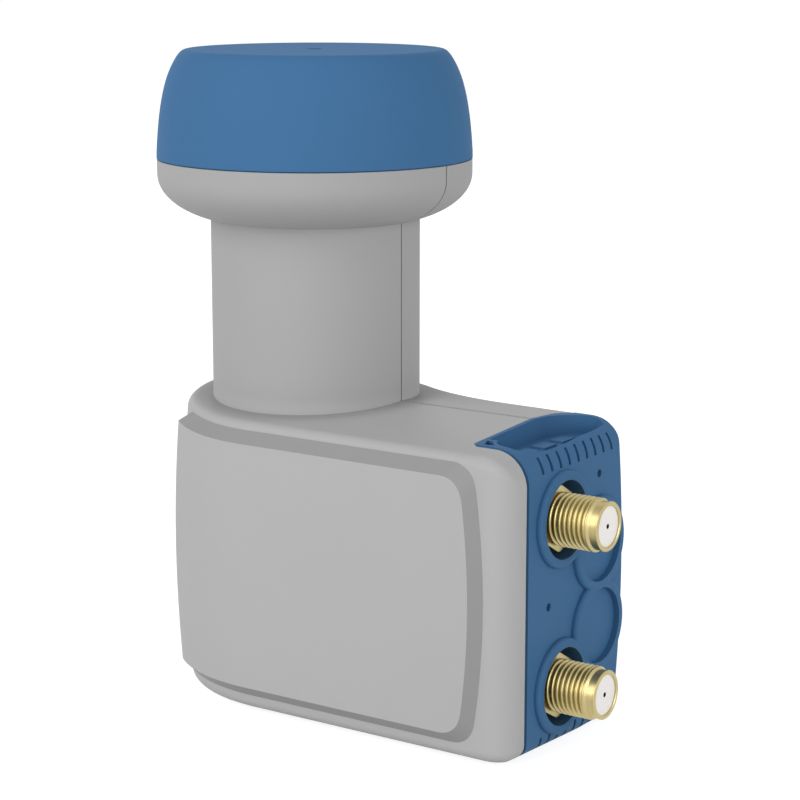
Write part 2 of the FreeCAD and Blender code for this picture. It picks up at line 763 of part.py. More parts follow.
def lidScrews():
    """Round-headed screws with a cross-free slot, one solid each."""
    screws = []
    for x, z in lidPlaces():
        head = rod(screwHead, (x, lidFace - screwHeadThick, z), (x, lidFace, z))
        rim = [edge for edge in head.Edges if abs(edge.CenterOfMass.y - lidFace + screwHeadThick) < 0.01]
        head = head.makeChamfer(screwHeadThick / 3, rim)
        shaft = rod(screwRadius, (x, lidFace, z), (x, gasketBack + lidScrewBite, z))
        slot = box(x - screwHead, x + screwHead, lidFace - screwHeadThick, lidFace - screwHeadThick / 2,
                   z - screwHead / 8, z + screwHead / 8)
        screws.append(head.fuse(shaft).removeSplitter().cut(slot))
    return Part.makeCompound(screws)


def circuitBoard():
    board = box(trayLeft + trayWall + boardGap, bulkheadBack - boardGap, boardFace, boardBack,
                trayLow + trayWall + boardGap, trayHigh - trayWall - boardGap)
    for x, z in lidPlaces():
        board = board.cut(rod(screwBoss + boardGap, (x, boardFace - 1, z), (x, boardBack + 1, z)))
    holes = [(0, crossHeight, probeRadius), (sideTurn, sideHeight, probeRadius)]
    holes += [(contactTurn, z, contactRadius) for z in ports.values()]
    for x, z, radius in holes:
        board = board.cut(rod(radius, (x, boardFace - 1, z), (x, boardBack + 1, z)))
    return board


def onBoard(size, places):
    return Part.makeCompound([block(size, x, boardFace, z) for x, z in places])


def transistors():
    """Small packages with their four leads as part of each solid."""
    pieces = []
    for x, z in map(onTray, transistorPlaces):
        body = block(transistorSize, x, boardFace, z)
        lead = 0.3
        cross = block((transistorSize[0] + 1.2, lead, lead), x, boardFace, z)
        upright = block((lead, lead, transistorSize[2] + 1.2), x, boardFace, z)
        pieces.append(union([body, cross, upright]))
    return Part.makeCompound(pieces)


def capacitors():
    places = []
    for across, up, count in capacitorRows:
        x, z = onTray((across, up))
        places += [(x, z + i * capacitorPitch) for i in range(count)]
    return onBoard(capacitorSize, places)


def resonator(place):
    x, z = onTray(place)
    puck = rod(puckRadius, (x, boardFace - puckThick, z), (x, boardFace, z))
    return puck.cut(rod(puckRadius / 4, (x, boardFace - puckThick - 1, z), (x, boardFace + 1, z)))


def tuningScrews():
    """Tuners through the lid with a slot each, standing just above the pucks."""
    screws = []
    for x, z in map(onTray, puckPlaces):
        start = boardFace - puckThick - tunerGap
        screw = rod(tunerRadius, (x, start, z), (x, lidFace - screwHeadThick / 2, z))
        slot = box(x - tunerRadius, x + tunerRadius, lidFace - screwHeadThick, lidFace,
                   z - screwHead / 8, z + screwHead / 8)
        screws.append(screw.cut(slot))
    return Part.makeCompound(screws)


def crossProbe():
    return rod(probeRadius, (0, -guideRadius + probeReach, crossHeight), (0, boardFace - solderStub, crossHeight))


def sideProbe():
    """Probe through the side of the waveguide, turned towards the board."""
    corner = (sideTurn, 0, sideHeight)
    inside = rod(probeRadius, (guideRadius - probeReach, 0, sideHeight), corner)
    leg = rod(probeRadius, corner, (sideTurn, boardFace - solderStub, sideHeight))
    return union([inside, Part.makeSphere(probeRadius, Vector(*corner)), leg])


def probeBushings():
    floor = trayBack - trayFloor
    outer = guideRadius + guideWall
    lines = [(probeRadius, (0, -guideRadius, crossHeight), (0, floor, crossHeight)),
             (probeRadius, (guideRadius, 0, sideHeight), (outer, 0, sideHeight)),
             (probeRadius, (sideTurn, trayBack, sideHeight), (sideTurn, floor, sideHeight))]
    lines += [(contactRadius, (contactTurn, trayBack, z), (contactTurn, floor, z)) for z in ports.values()]
    return Part.makeCompound([rod(bushRadius, a, b).cut(rod(r, a, b)) for r, a, b in lines])


def isolationPost():
    return rod(isolationRadius, (-guideRadius - isolationSeat, 0, isolationHeight),
               (guideRadius + guideWall - 0.2, 0, isolationHeight))


def feedCapSeal():
    low = seamHeight + sealRise
    return tube(sealRadius, spigotRadius - sealWidth, low, low + sealHeight)


os.makedirs("parts", exist_ok=True)
hollow = cavity().fuse(neckInside())
save("front_shell", shellHalf(-1, hollow))
save("rear_shell", shellHalf(1, hollow))
save("feed_cap", feedCap())
save("connector_cover", connectorCover())
for label, height in ports.items():
    save("connector_body_" + label, connectorBody(height))
    save("connector_insulator_" + label, connectorInsulator(height))
    save("connector_contact_" + label, connectorContact(height))
    save("connector_seal_" + label, connectorSeal(height))
save("feed_cap_seal", feedCapSeal())
save("cast_chassis", castChassis())
save("chamber_lid", chamberLid())
save("lid_gasket", lidGasket())
save("lid_screws", lidScrews())
save("circuit_board", circuitBoard())
save("low_noise_transistors", transistors())
save("oscillator_chip", onBoard(chipSize, [onTray(chipPlace)]))
save("voltage_regulator", onBoard(regulatorSize, [onTray(regulatorPlace)]))
save("chip_capacitors", capacitors())
save("resonator_low", resonator(puckPlaces[0]))
save("resonator_high", resonator(puckPlaces[1]))
save("tuning_screws", tuningScrews())
save("cross_probe", crossProbe())
save("side_probe", sideProbe())
save("probe_bushings", probeBushings())
save("isolation_post", isolationPost())
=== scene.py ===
import bpy
import math
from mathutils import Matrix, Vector


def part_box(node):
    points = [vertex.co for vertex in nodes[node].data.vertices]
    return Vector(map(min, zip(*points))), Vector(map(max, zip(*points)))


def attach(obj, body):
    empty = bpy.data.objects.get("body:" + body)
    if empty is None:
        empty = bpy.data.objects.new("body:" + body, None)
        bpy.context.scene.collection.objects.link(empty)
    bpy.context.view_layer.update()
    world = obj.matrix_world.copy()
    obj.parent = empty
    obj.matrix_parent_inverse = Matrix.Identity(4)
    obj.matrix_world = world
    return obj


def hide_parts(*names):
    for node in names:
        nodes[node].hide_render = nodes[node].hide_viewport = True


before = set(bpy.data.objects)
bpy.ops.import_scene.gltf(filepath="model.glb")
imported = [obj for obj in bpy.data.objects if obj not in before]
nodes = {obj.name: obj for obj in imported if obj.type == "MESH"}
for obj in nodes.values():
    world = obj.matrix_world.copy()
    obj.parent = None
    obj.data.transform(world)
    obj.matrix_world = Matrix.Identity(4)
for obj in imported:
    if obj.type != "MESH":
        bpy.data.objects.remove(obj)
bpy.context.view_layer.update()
print("frame loaded:", len(nodes), "nodes")

mm = 0.001


def portAxis(label):
    # side and height of a connector's axis, from the middle of its body in the frame
    low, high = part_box("connector_body_" + label)
    return (low.y + high.y) / 2, (low.z + high.z) / 2


portAxes = {label: portAxis(label) for label in ("upper", "lower")}


def deselectAll():
    if bpy.context.mode != "OBJECT":
        bpy.ops.object.mode_set(mode="OBJECT")
    bpy.ops.object.select_all(action="DESELECT")


def makeActive(piece):
    deselectAll()
    piece.select_set(True)
    bpy.context.view_layer.objects.active = piece


def applyModifiers(piece):
    makeActive(piece)
    for modifier in list(piece.modifiers):
        bpy.ops.object.modifier_apply(modifier=modifier.name)


def facesOutwards(piece):
    makeActive(piece)
    bpy.ops.object.mode_set(mode="EDIT")
    bpy.ops.mesh.select_all(action="SELECT")
    bpy.ops.mesh.normals_make_consistent(inside=False)
    bpy.ops.object.mode_set(mode="OBJECT")


def settle(piece, name):
    # place goes into the mesh, so the object itself sits at the origin
    piece.name = name
    piece.data.name = name
    makeActive(piece)
    bpy.ops.object.transform_apply(location=True, rotation=True, scale=True)


def dress(piece, finish):
    piece.data.materials.clear()
    piece.data.materials.append(finishes[finish])


# nodes that the shader groups and the materials share

def addNode(tree, kind, settings=None, **inputs):
    node = tree.nodes.new(kind)
    for key, value in (settings or {}).items():
        setattr(node, key, value)
    for key, value in inputs.items():
        node.inputs[key.replace("_", " ")].default_value = value
    return node


def feed(tree, socket, value):
    # a number is set on the socket, another node's output is linked to it
    if isinstance(value, (int, float)):
        socket.default_value = value
    else:
        tree.links.new(value, socket)


def addMath(tree, operation, *values, clamp=False):
    node = addNode(tree, "ShaderNodeMath", {"operation": operation, "use_clamp": clamp})
    for spot, value in enumerate(values):
        feed(tree, node.inputs[spot], value)
    return node.outputs[0]


def addNoise(tree, scale, detail, roughness):
    noise = addNode(tree, "ShaderNodeTexNoise", Detail=detail, Roughness=roughness)
    tree.links.new(addNode(tree, "ShaderNodeTexCoord").outputs["Object"], noise.inputs["Vector"])
    feed(tree, noise.inputs["Scale"], scale)
    return noise.outputs["Fac"]


def addBump(tree, height, strength, distance):
    bump = addNode(tree, "ShaderNodeBump", Distance=distance)
    tree.links.new(strength, bump.inputs["Strength"])
    tree.links.new(height, bump.inputs["Height"])
    return bump.outputs["Normal"]


def scaledColour(tree, colour, factor):
    tone = addNode(tree, "ShaderNodeVectorMath", {"operation": "SCALE"})
    tree.links.new(colour, tone.inputs[0])
    tree.links.new(factor, tone.inputs["Scale"])
    return tone.outputs[0]


def newGroup(name, inputs, outputs):
    group = bpy.data.node_groups.new(name, "ShaderNodeTree")
    for title, kind, value in inputs:
        socket = group.interface.new_socket(name=title, in_out="INPUT", socket_type=kind)
        socket.default_value = value
    for title, kind in outputs:
        group.interface.new_socket(name=title, in_out="OUTPUT", socket_type=kind)
    enter = group.nodes.new("NodeGroupInput")
    leave = group.nodes.new("NodeGroupOutput")
    return group, enter.outputs, leave.inputs


colourOut = ("Colour", "NodeSocketColor")
roughnessOut = ("Roughness", "NodeSocketFloat")
normalOut = ("Normal", "NodeSocketVector")

mouldedLook = {"grainDetail": 3.0, "grainBreak": 0.55, "grainHeight": 0.06 * mm, "roughSpread": 0.12,
               "driftSize": 42.0, "driftDetail": 2.0, "driftBreak": 0.5, "driftMiddle": 0.5}


def buildMouldedSkin(look):
    # fine spark-eroded grain and a slow drift of tone, as on moulded plastic
    group, enter, leave = newGroup("mouldedSkin", [
        ("Base Colour", "NodeSocketColor", (0.5, 0.5, 0.5, 1)),
        ("Grain Size", "NodeSocketFloat", 2600.0),
        ("Grain Depth", "NodeSocketFloat", 0.25),
        ("Tone Drift", "NodeSocketFloat", 0.03),
        ("Sheen Level", "NodeSocketFloat", 0.5),
    ], [colourOut, roughnessOut, normalOut])
    grain = addNoise(group, enter["Grain Size"], look["grainDetail"], look["grainBreak"])
    drift = addNoise(group, look["driftSize"], look["driftDetail"], look["driftBreak"])
    offMiddle = addMath(group, "SUBTRACT", drift, look["driftMiddle"])
    tone = addMath(group, "MULTIPLY_ADD", offMiddle, enter["Tone Drift"], 1.0)
    rough = addMath(group, "MULTIPLY_ADD", grain, look["roughSpread"], enter["Sheen Level"], clamp=True)
    bumped = addBump(group, grain, enter["Grain Depth"], look["grainHeight"])
    group.links.new(scaledColour(group, enter["Base Colour"], tone), leave["Colour"])
    group.links.new(rough, leave["Roughness"])
    group.links.new(bumped, leave["Normal"])
    return group


platedLook = {"markDetail": 4.0, "markBreak": 0.6, "markHeight": 0.03 * mm,
              "patchSize": 260.0, "patchDetail": 2.0, "patchBreak": 0.5, "cleanTone": 1.05, "dullTone": -0.12}


def buildMetalSkin(look):
    # fine machining marks and small patches of duller plating
    group, enter, leave = newGroup("metalSkin", [
        ("Base Colour", "NodeSocketColor", (0.7, 0.6, 0.4, 1)),
        ("Mark Size", "NodeSocketFloat", 900.0),
        ("Mark Depth", "NodeSocketFloat", 0.15),
        ("Polish", "NodeSocketFloat", 0.2),
        ("Patchiness", "NodeSocketFloat", 0.15),
    ], [colourOut, roughnessOut, normalOut])
    marks = addNoise(group, enter["Mark Size"], look["markDetail"], look["markBreak"])
    patch = addNoise(group, look["patchSize"], look["patchDetail"], look["patchBreak"])
    tone = addMath(group, "MULTIPLY_ADD", patch, look["dullTone"], look["cleanTone"])
    rough = addMath(group, "MULTIPLY_ADD", patch, enter["Patchiness"], enter["Polish"], clamp=True)
    bumped = addBump(group, marks, enter["Mark Depth"], look["markHeight"])
    group.links.new(scaledColour(group, enter["Base Colour"], tone), leave["Colour"])
    group.links.new(rough, leave["Roughness"])
    group.links.new(bumped, leave["Normal"])
    return group


# where painted shade lies on the housing: places in millimetres, leans and the draft as parts of 1,
# and each pair the start and end of a soft change
paintedShadeAreas = {
    "frontEdge": 26.9, "topDraft": 0.0577,  # the top rises with this draft from its front edge
    "slopeLean": (0.42, 0.56), "wallLean": (0.82, 0.92),
    "broadFace": (-27.04, -26.98), "connectorEnd": (54.6, 54.8),
    "slopeTop": (55.2, 55.4), "slopeFoot": (3.6, 3.8), "slopeBack": (-8.0, -7.5),
    "contactRing": (19.5, 27.0), "contactTop": (58.6, 59.6), "contactLean": (0.75, 0.95),
    "neckFoot": (57.5, 60.5),
    "seamMiddle": -0.15, "seamEdge": (0.3, 0.6), "seamLean": (0.8, 0.95),
}


def buildShellPaintedShade(areas):
    # painted shade: darker slopes round the raised panel, darker top round the foot of the neck, a darker
    # neck and collar and a darker line along the seam
    group, enter, leave = newGroup("shellPaintedShade", [
        ("Colour", "NodeSocketColor", (0.5, 0.5, 0.5, 1)),
        ("Slope Darkness", "NodeSocketFloat", 0.2),
        ("Contact Darkness", "NodeSocketFloat", 0.3),
        ("Neck Darkness", "NodeSocketFloat", 0.1),
        ("Seam Darkness", "NodeSocketFloat", 0.3),
    ], [colourOut])

    def ramp(value, limits, unit=mm, falling=False):
        # the unit is mm for a place and 1 for a lean
        start, end = limits
        change = addNode(group, "ShaderNodeMapRange", {"interpolation_type": "SMOOTHSTEP"},
                         From_Min=start * unit, From_Max=end * unit,
                         To_Min=1.0 if falling else 0.0, To_Max=0.0 if falling else 1.0)
        group.links.new(value, change.inputs["Value"])
        return change.outputs[0]

    def product(first, *others):
        for other in others:
            first = addMath(group, "MULTIPLY", first, other)
        return first

    def diagonal(first, second):
        squares = addMath(group, "ADD", product(first, first), product(second, second))
        return addMath(group, "SQRT", squares)

    place = addNode(group, "ShaderNodeTexCoord")
    where = addNode(group, "ShaderNodeSeparateXYZ")
    facing = addNode(group, "ShaderNodeSeparateXYZ")
    group.links.new(place.outputs["Object"], where.inputs[0])
    group.links.new(place.outputs["Normal"], facing.inputs[0])
    x, y, z = (where.outputs[name] for name in "XYZ")
    upwards = facing.outputs["Z"]

    rise = product(addMath(group, "ADD", y, areas["frontEdge"] * mm), areas["topDraft"])
    heightAtFront = addMath(group, "SUBTRACT", z, rise)
    lean = diagonal(addMath(group, "MAXIMUM", facing.outputs["X"], 0.0), upwards)
    # near the connector end only what stands in front of the broad face is a slope
    raised = addMath(group, "MAXIMUM", ramp(y, areas["broadFace"], falling=True),
                     ramp(x, areas["connectorEnd"], falling=True))
    # painted shade: the slopes round the raised panel are made darker
    slope = product(ramp(lean, areas["slopeLean"], unit=1),
                    ramp(lean, areas["wallLean"], unit=1, falling=True), raised,
                    ramp(heightAtFront, areas["slopeTop"], falling=True), ramp(z, areas["slopeFoot"]),
                    ramp(y, areas["slopeBack"], falling=True), enter["Slope Darkness"])
    # painted shade on the top face round the foot of the neck
    contact = product(ramp(diagonal(x, y), areas["contactRing"], falling=True),
                      ramp(z, areas["contactTop"], falling=True),
                      ramp(upwards, areas["contactLean"], unit=1), enter["Contact Darkness"])
    # painted shade: the neck and collar are made darker above their foot
    neck = product(ramp(z, areas["neckFoot"]), enter["Neck Darkness"])
    # painted shade along the parting seam, on upward faces only
    offSeam = addMath(group, "ABSOLUTE", addMath(group, "SUBTRACT", y, areas["seamMiddle"] * mm))
    seam = product(ramp(offSeam, areas["seamEdge"], falling=True), ramp(upwards, areas["seamLean"], unit=1),
                   enter["Seam Darkness"])
    shade = slope
    for other in (contact, neck, seam):
        shade = addMath(group, "MAXIMUM", shade, other)
    kept = addMath(group, "SUBTRACT", 1.0, shade)
    group.links.new(scaledColour(group, enter["Colour"], kept), leave["Colour"])
    return group


mouldedSkin = buildMouldedSkin(mouldedLook)
metalSkin = buildMetalSkin(platedLook)
shellPaintedShade = buildShellPaintedShade(paintedShadeAreas)


def newMaterial(name, group, values, shader):
    material = bpy.data.materials.new(name)
    material.use_nodes = True
    tree = material.node_tree
    principled = tree.nodes["Principled BSDF"]
    skin = addNode(tree, "ShaderNodeGroup", {"node_tree": group})
    for key, value in values.items():
        skin.inputs[key].default_value = value
    for key, value in shader.items():
        principled.inputs[key].default_value = value
    tree.links.new(skin.outputs["Colour"], principled.inputs["Base Color"])
    tree.links.new(skin.outputs["Roughness"], principled.inputs["Roughness"])
    tree.links.new(skin.outputs["Normal"], principled.inputs["Normal"])
    return material


def plastic(name, colour, grain=2600.0, depth=0.25, drift=0.03, sheen=0.42, specular=0.4):
    values = {"Base Colour": (*colour, 1), "Grain Size": grain, "Grain Depth": depth,
              "Tone Drift": drift, "Sheen Level": sheen}
    return newMaterial(name, mouldedSkin, values, {"Specular IOR Level": specular})


def metal(name, colour, marks=900.0, depth=0.15, polish=0.2, patches=0.15):
    values = {"Base Colour": (*colour, 1), "Mark Size": marks, "Mark Depth": depth,
              "Polish": polish, "Patchiness": patches}
    return newMaterial(name, metalSkin, values, {"Metallic": 1.0})


finishes = {
    "housingGrey": plastic("housingGrey", (0.473, 0.473, 0.475), sheen=0.6, specular=0.14),
    "capBlue": plastic("capBlue", (0.056, 0.165, 0.338), sheen=0.62, specular=0.1),
    "coverBlue": plastic("coverBlue", (0.052, 0.150, 0.301), sheen=0.55, specular=0.14),
    "goldPlate": metal("goldPlate", (0.515, 0.43, 0.205), polish=0.28),
    "insulatorWhite": plastic("insulatorWhite", (0.97, 0.94, 0.91), grain=1800.0, depth=0.08, sheen=0.3),
    "contactBrass": metal("contactBrass", (0.72, 0.55, 0.27), polish=0.22),
    "sealRubber": plastic("sealRubber", (0.012, 0.012, 0.013), grain=1500.0, drift=0.2, sheen=0.55),
    "castMetal": metal("castMetal", (0.60, 0.60, 0.62), marks=420.0, depth=0.6, polish=0.38, patches=0.25),
    "lidMetal": metal("lidMetal", (0.70, 0.70, 0.72), marks=700.0, depth=0.2, polish=0.3),
    "screwSteel": metal("screwSteel", (0.55, 0.55, 0.56), polish=0.25),
    "boardGreen": plastic("boardGreen", (0.02, 0.13, 0.05), grain=1200.0, drift=0.2, sheen=0.22,
                          specular=0.5),
    "chipBlack": plastic("chipBlack", (0.012, 0.012, 0.012), grain=3000.0, drift=0.2, sheen=0.4),
    "paleCeramic": plastic("paleCeramic", (0.55, 0.46, 0.34), grain=1600.0, drift=0.15, sheen=0.35),
}


def recolour(material, build):
    # build puts its own nodes between the material's colour and its shader
    tree = material.node_tree
    socket = tree.nodes["Principled BSDF"].inputs["Base Color"]
    tree.links.new(build(tree, socket.links[0].from_socket), socket)


# how dark each mark of painted shade on the housing shells is
shellPaintedDarkness = {"Slope Darkness": 0.3, "Contact Darkness": 0.3, "Neck Darkness": 0.12, "Seam Darkness": 0.35}


# puts the painted shade over the housing's own colour
def paintShellShade(tree, colour):
    shade = addNode(tree, "ShaderNodeGroup", {"node_tree": shellPaintedShade})
    for key, value in shellPaintedDarkness.items():
        shade.inputs[key].default_value = value
    tree.links.new(colour, shade.inputs["Colour"])
    return shade.outputs["Colour"]


# how wide and how dark the painted shade in each contact hole is
contactHoleShade = {"radius": 0.47 * mm, "darkness": 0.96}


def paintHoleShade(tree, colour):
    # painted shade: the insulator is darkened in the narrow hole round the centre contact, which lets little
    # light out
    place = addNode(tree, "ShaderNodeTexCoord")
    holes = []
    for side, height in portAxes.values():
        offset = addNode(tree, "ShaderNodeVectorMath", {"operation": "SUBTRACT"})
        offset.inputs[1].default_value = (0, side, height)
        across = addNode(tree, "ShaderNodeVectorMath", {"operation": "MULTIPLY"})
        across.inputs[1].default_value = (0, 1, 1)
        reach = addNode(tree, "ShaderNodeVectorMath", {"operation": "LENGTH"})
        tree.links.new(place.outputs["Object"], offset.inputs[0])
        tree.links.new(offset.outputs[0], across.inputs[0])
        tree.links.new(across.outputs[0], reach.inputs[0])
        holes.append(addMath(tree, "LESS_THAN", reach.outputs["Value"], contactHoleShade["radius"]))
    either = addMath(tree, "MAXIMUM", *holes)
    return scaledColour(tree, colour, addMath(tree, "MULTIPLY_ADD", either, -contactHoleShade["darkness"], 1.0))


# painted shade on the housing shells
recolour(finishes["housingGrey"], paintShellShade)
# painted shade in the insulators' contact holes
recolour(finishes["insulatorWhite"], paintHoleShade)

wearing = {
    "housingGrey": ["front_shell", "rear_shell"],
    "capBlue": ["feed_cap"],
    "coverBlue": ["connector_cover"],
    "goldPlate": ["connector_body_upper", "connector_body_lower"],
    "insulatorWhite": ["connector_insulator_upper", "connector_insulator_lower", "probe_bushings"],
    "contactBrass": ["connector_contact_upper", "connector_contact_lower", "cross_probe", "side_probe",
                     "isolation_post"],
    "sealRubber": ["connector_seal_upper", "connector_seal_lower", "feed_cap_seal", "lid_gasket"],
    "castMetal": ["cast_chassis"],
    "lidMetal": ["chamber_lid"],
    "screwSteel": ["lid_screws", "tuning_screws"],
    "boardGreen": ["circuit_board"],
    "chipBlack": ["low_noise_transistors", "oscillator_chip", "voltage_regulator"],
    "paleCeramic": ["chip_capacitors", "resonator_low", "resonator_high"],
}
for finish, worn in wearing.items():
    for name in worn:
        dress(nodes[name], finish)
print("materials placed on every node")


# filler in the gap of the parting line, so that no light comes through it; its near-black colour is painted
# shade in the closed joint
jointBead = {"setIn": 0.3, "sameSpot": 0.001, "sameFace": 0.01, "facingBack": 0.99}


def beadInJoint(name, look):
    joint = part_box("front_shell")[1].y
    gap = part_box("rear_shell")[0].y - joint
    bead = bpy.data.objects.new(name, nodes["front_shell"].data.copy())
    bpy.context.scene.collection.objects.link(bead)
    makeActive(bead)
    bpy.ops.object.mode_set(mode="EDIT")
    bpy.ops.mesh.select_all(action="SELECT")
    bpy.ops.mesh.remove_doubles(threshold=look["sameSpot"] * mm)
    bpy.ops.mesh.select_mode(type="FACE")
    bpy.ops.mesh.select_all(action="DESELECT")
    bpy.ops.object.mode_set(mode="OBJECT")
    # first all but the flat faces of the joint goes, and then the rim of those
    for face in bead.data.polygons:
        apart = abs(face.center.y - joint) > look["sameFace"] * mm
        face.select = apart or face.normal.y < look["facingBack"]
    bpy.ops.object.mode_set(mode="EDIT")
    bpy.ops.mesh.delete(type="FACE")
    bpy.ops.mesh.select_all(action="SELECT")
    bpy.ops.mesh.inset(thickness=look["setIn"] * mm, use_boundary=True, use_even_offset=True)
    bpy.ops.mesh.select_all(action="INVERT")
    bpy.ops.mesh.delete(type="FACE")
    bpy.ops.object.mode_set(mode="OBJECT")
    wall = bead.modifiers.new("wall", "SOLIDIFY")
    wall.thickness = gap
    wall.offset = 1
    applyModifiers(bead)
    # the sealing rubber's near-black colour here is painted shade in the joint
    dress(bead, "sealRubber")
    return bead


bead = beadInJoint("joint_bead", jointBead)
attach(bead, "root")
print("joint bead between the shells ready,", len(bead.data.polygons), "faces")


# threaded connector body: radii, and places along the part's X axis from the middle of the neck
connector = {
    "bore": 1.6, "shankBack": 51.2, "shankRadius": 4.3, "shankBevel": 0.3, "shankEnd": 55.7,
    "hexBack": 55.6, "hexFace": 60.1, "hexAcross": 11.0, "hexTurn": 30.0,
    "hexBevel": 0.22, "hexBevelSegments": 3, "hexBevelAngle": 25.0,
    "trimDepth": 5.0, "trimBack": 5.55, "trimFace": 0.55,  # cone that takes the hex's corners off
    "rootStart": 56.0, "rootRadius": 4.22, "crestRadius": 4.88, "crestFlat": 0.16,
    "pitch": 0.98, "threadFrom": 59.9, "threadTurns": 8, "threadSteps": 72,
    "toothSunk": 0.15, "toothShare": 0.86, "crestDrop": 0.04, "crestStep": 0.05,
    "insulatorSeat": 58.1, "insulatorRadius": 3.7, "mouthBevel": 0.12,
    "turnSteps": 96, "sameSpot": 0.002, "smoothAngle": 32.0,
    # the nose in front of the thread, its corners as radius and distance behind the tip
    "tip": 70.1, "noseLength": 2.75,
    "ridge": [(4.76, 2.45), (4.86, 2.35), (4.86, 2.1), (4.78, 1.98)],
    "groove": [(4.5, 1.78), (4.42, 1.68), (4.42, 0.48)],
    "rim": [(4.5, 0.38), (4.5, 0.18), (4.42, 0.06), (4.28, 0.0), (3.84, 0.0)],
}


def drawRing(name, points):
    # closed outline beside the Z axis, drawn from one corner to the next
    corners = [Vector((radius, 0, height)) * mm for radius, height in points]
    deselectAll()
    bpy.ops.mesh.primitive_plane_add(size=mm, location=(0, 0, 0))
    ring = bpy.context.active_object
    ring.name = name
    bpy.ops.object.mode_set(mode="EDIT")
    bpy.ops.mesh.select_mode(type="VERT")
    bpy.ops.mesh.select_all(action="SELECT")
    bpy.ops.mesh.merge(type="CENTER")
    bpy.ops.transform.translate(value=corners[0])
    for last, corner in zip(corners, corners[1:]):
        bpy.ops.mesh.extrude_vertices_move(TRANSFORM_OT_translate={"value": corner - last})
    bpy.ops.object.mode_set(mode="OBJECT")
    for point in ring.data.vertices:
        point.select = point.index in (0, len(corners) - 1)
    bpy.ops.object.mode_set(mode="EDIT")
    bpy.ops.mesh.edge_face_add()
    bpy.ops.object.mode_set(mode="OBJECT")
    return ring


def turnRing(ring, steps):
    turn = ring.modifiers.new("turn", "SCREW")
    turn.angle = math.tau
    turn.steps = steps
    turn.render_steps = steps
    return turn


def turnedCore(name, look):
    back, tip = look["shankBack"], look["tip"]
    section = [(look["bore"], back), (look["shankRadius"] - look["shankBevel"], back),
               (look["shankRadius"], back + look["shankBevel"]), (look["shankRadius"], look["shankEnd"]),
               (look["rootRadius"], look["rootStart"]), (look["rootRadius"], tip - look["noseLength"])]
    section += [(radius, tip - behind) for radius, behind in look["ridge"] + look["groove"] + look["rim"]]
    section += [(look["insulatorRadius"], tip - look["mouthBevel"]),
                (look["insulatorRadius"], look["insulatorSeat"]), (look["bore"], look["insulatorSeat"])]
    core = drawRing(name, section)
    turn = turnRing(core, look["turnSteps"])
    turn.use_merge_vertices = True
    turn.merge_threshold = look["sameSpot"] * mm
    applyModifiers(core)
    return core


def threadCoil(name, look):
    # one tooth swept along the helix, its ends hidden in hex and nose
    half = look["pitch"] / 2
    flat = look["crestFlat"] / 2
    flank = [(look["rootRadius"] - look["toothSunk"], half), (look["rootRadius"], half * look["toothShare"]),
             (look["crestRadius"] - look["crestDrop"], flat + look["crestStep"]), (look["crestRadius"], flat)]
    tooth = [(radius, -height) for radius, height in flank] + flank[::-1]
    coil = drawRing(name, [(radius, look["threadFrom"] + height) for radius, height in tooth])
    turn = turnRing(coil, look["threadSteps"])
    turn.screw_offset = look["pitch"] * mm
    turn.iterations = look["threadTurns"]
    applyModifiers(coil)
    bpy.ops.object.mode_set(mode="EDIT")
    bpy.ops.mesh.select_all(action="SELECT")
    bpy.ops.mesh.fill_holes(sides=0)
    facesOutwards(coil)
    return coil


def hexNut(look):
    # hexagon with its front corners turned off
    bpy.ops.mesh.primitive_cylinder_add(
        vertices=6, radius=look["hexAcross"] / 2 / math.cos(math.pi / 6) * mm,
        depth=(look["hexFace"] - look["hexBack"]) * mm,
        location=(0, 0, (look["hexFace"] + look["hexBack"]) / 2 * mm))
    nut = bpy.context.active_object
    makeActive(nut)
    nut.rotation_euler = (0, 0, math.radians(look["hexTurn"]))
    bpy.ops.object.transform_apply(location=True, rotation=True, scale=True)
    bpy.ops.mesh.primitive_cone_add(
        vertices=look["turnSteps"], radius1=(look["hexAcross"] / 2 + look["trimBack"]) * mm,
        radius2=(look["hexAcross"] / 2 + look["trimFace"]) * mm, depth=look["trimDepth"] * mm,
        location=(0, 0, (look["hexFace"] - look["trimDepth"] / 2) * mm))
    cone = bpy.context.active_object
    trim = nut.modifiers.new("trim", "BOOLEAN")
    trim.operation = "INTERSECT"
    trim.solver = "EXACT"
    trim.object = cone
    soften = nut.modifiers.new("soften", "BEVEL")
    soften.width = look["hexBevel"] * mm
    soften.segments = look["hexBevelSegments"]
    soften.limit_method = "ANGLE"
    soften.angle_limit = math.radians(look["hexBevelAngle"])
    applyModifiers(nut)
    bpy.data.objects.remove(cone)
    return nut


def threadedBody(name, axis, look):
    core = turnedCore(name + "_core", look)
    nut = hexNut(look)
    coil = threadCoil(name + "_coil", look)
    deselectAll()
    for piece in (core, nut, coil):
        piece.select_set(True)
    bpy.context.view_layer.objects.active = core
    bpy.ops.object.join()
    core.rotation_euler = (0, math.radians(90), 0)
    core.location = (0, *axis)
    settle(core, name)
    facesOutwards(core)
    bpy.ops.object.shade_smooth_by_angle(angle=math.radians(look["smoothAngle"]))
    dress(core, "goldPlate")
    return core


for label, axis in portAxes.items():
    body = threadedBody("threaded_body_" + label, axis, connector)
    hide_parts("connector_body_" + label)
    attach(body, "root")
print("threaded bodies in place")


# white studio: a wide paper floor, a plain room and three lamps
floorLook = {"size": 60.0, "colour": 0.82, "seenColour": 0.4, "ownLight": 0.86, "roughness": 0.9}
roomLook = {"white": (1, 1, 1, 1), "fill": 0.4, "seen": 1.0}


def seenDirectly(tree):
    # 1 where the eye, a mirror-like surface or clear glass looks straight at the surface
    path = addNode(tree, "ShaderNodeLightPath")
    looked = path.outputs["Is Camera Ray"]
    for kind in ("Is Glossy Ray", "Is Transmission Ray"):
        looked = addMath(tree, "MAXIMUM", looked, path.outputs[kind])
    return looked


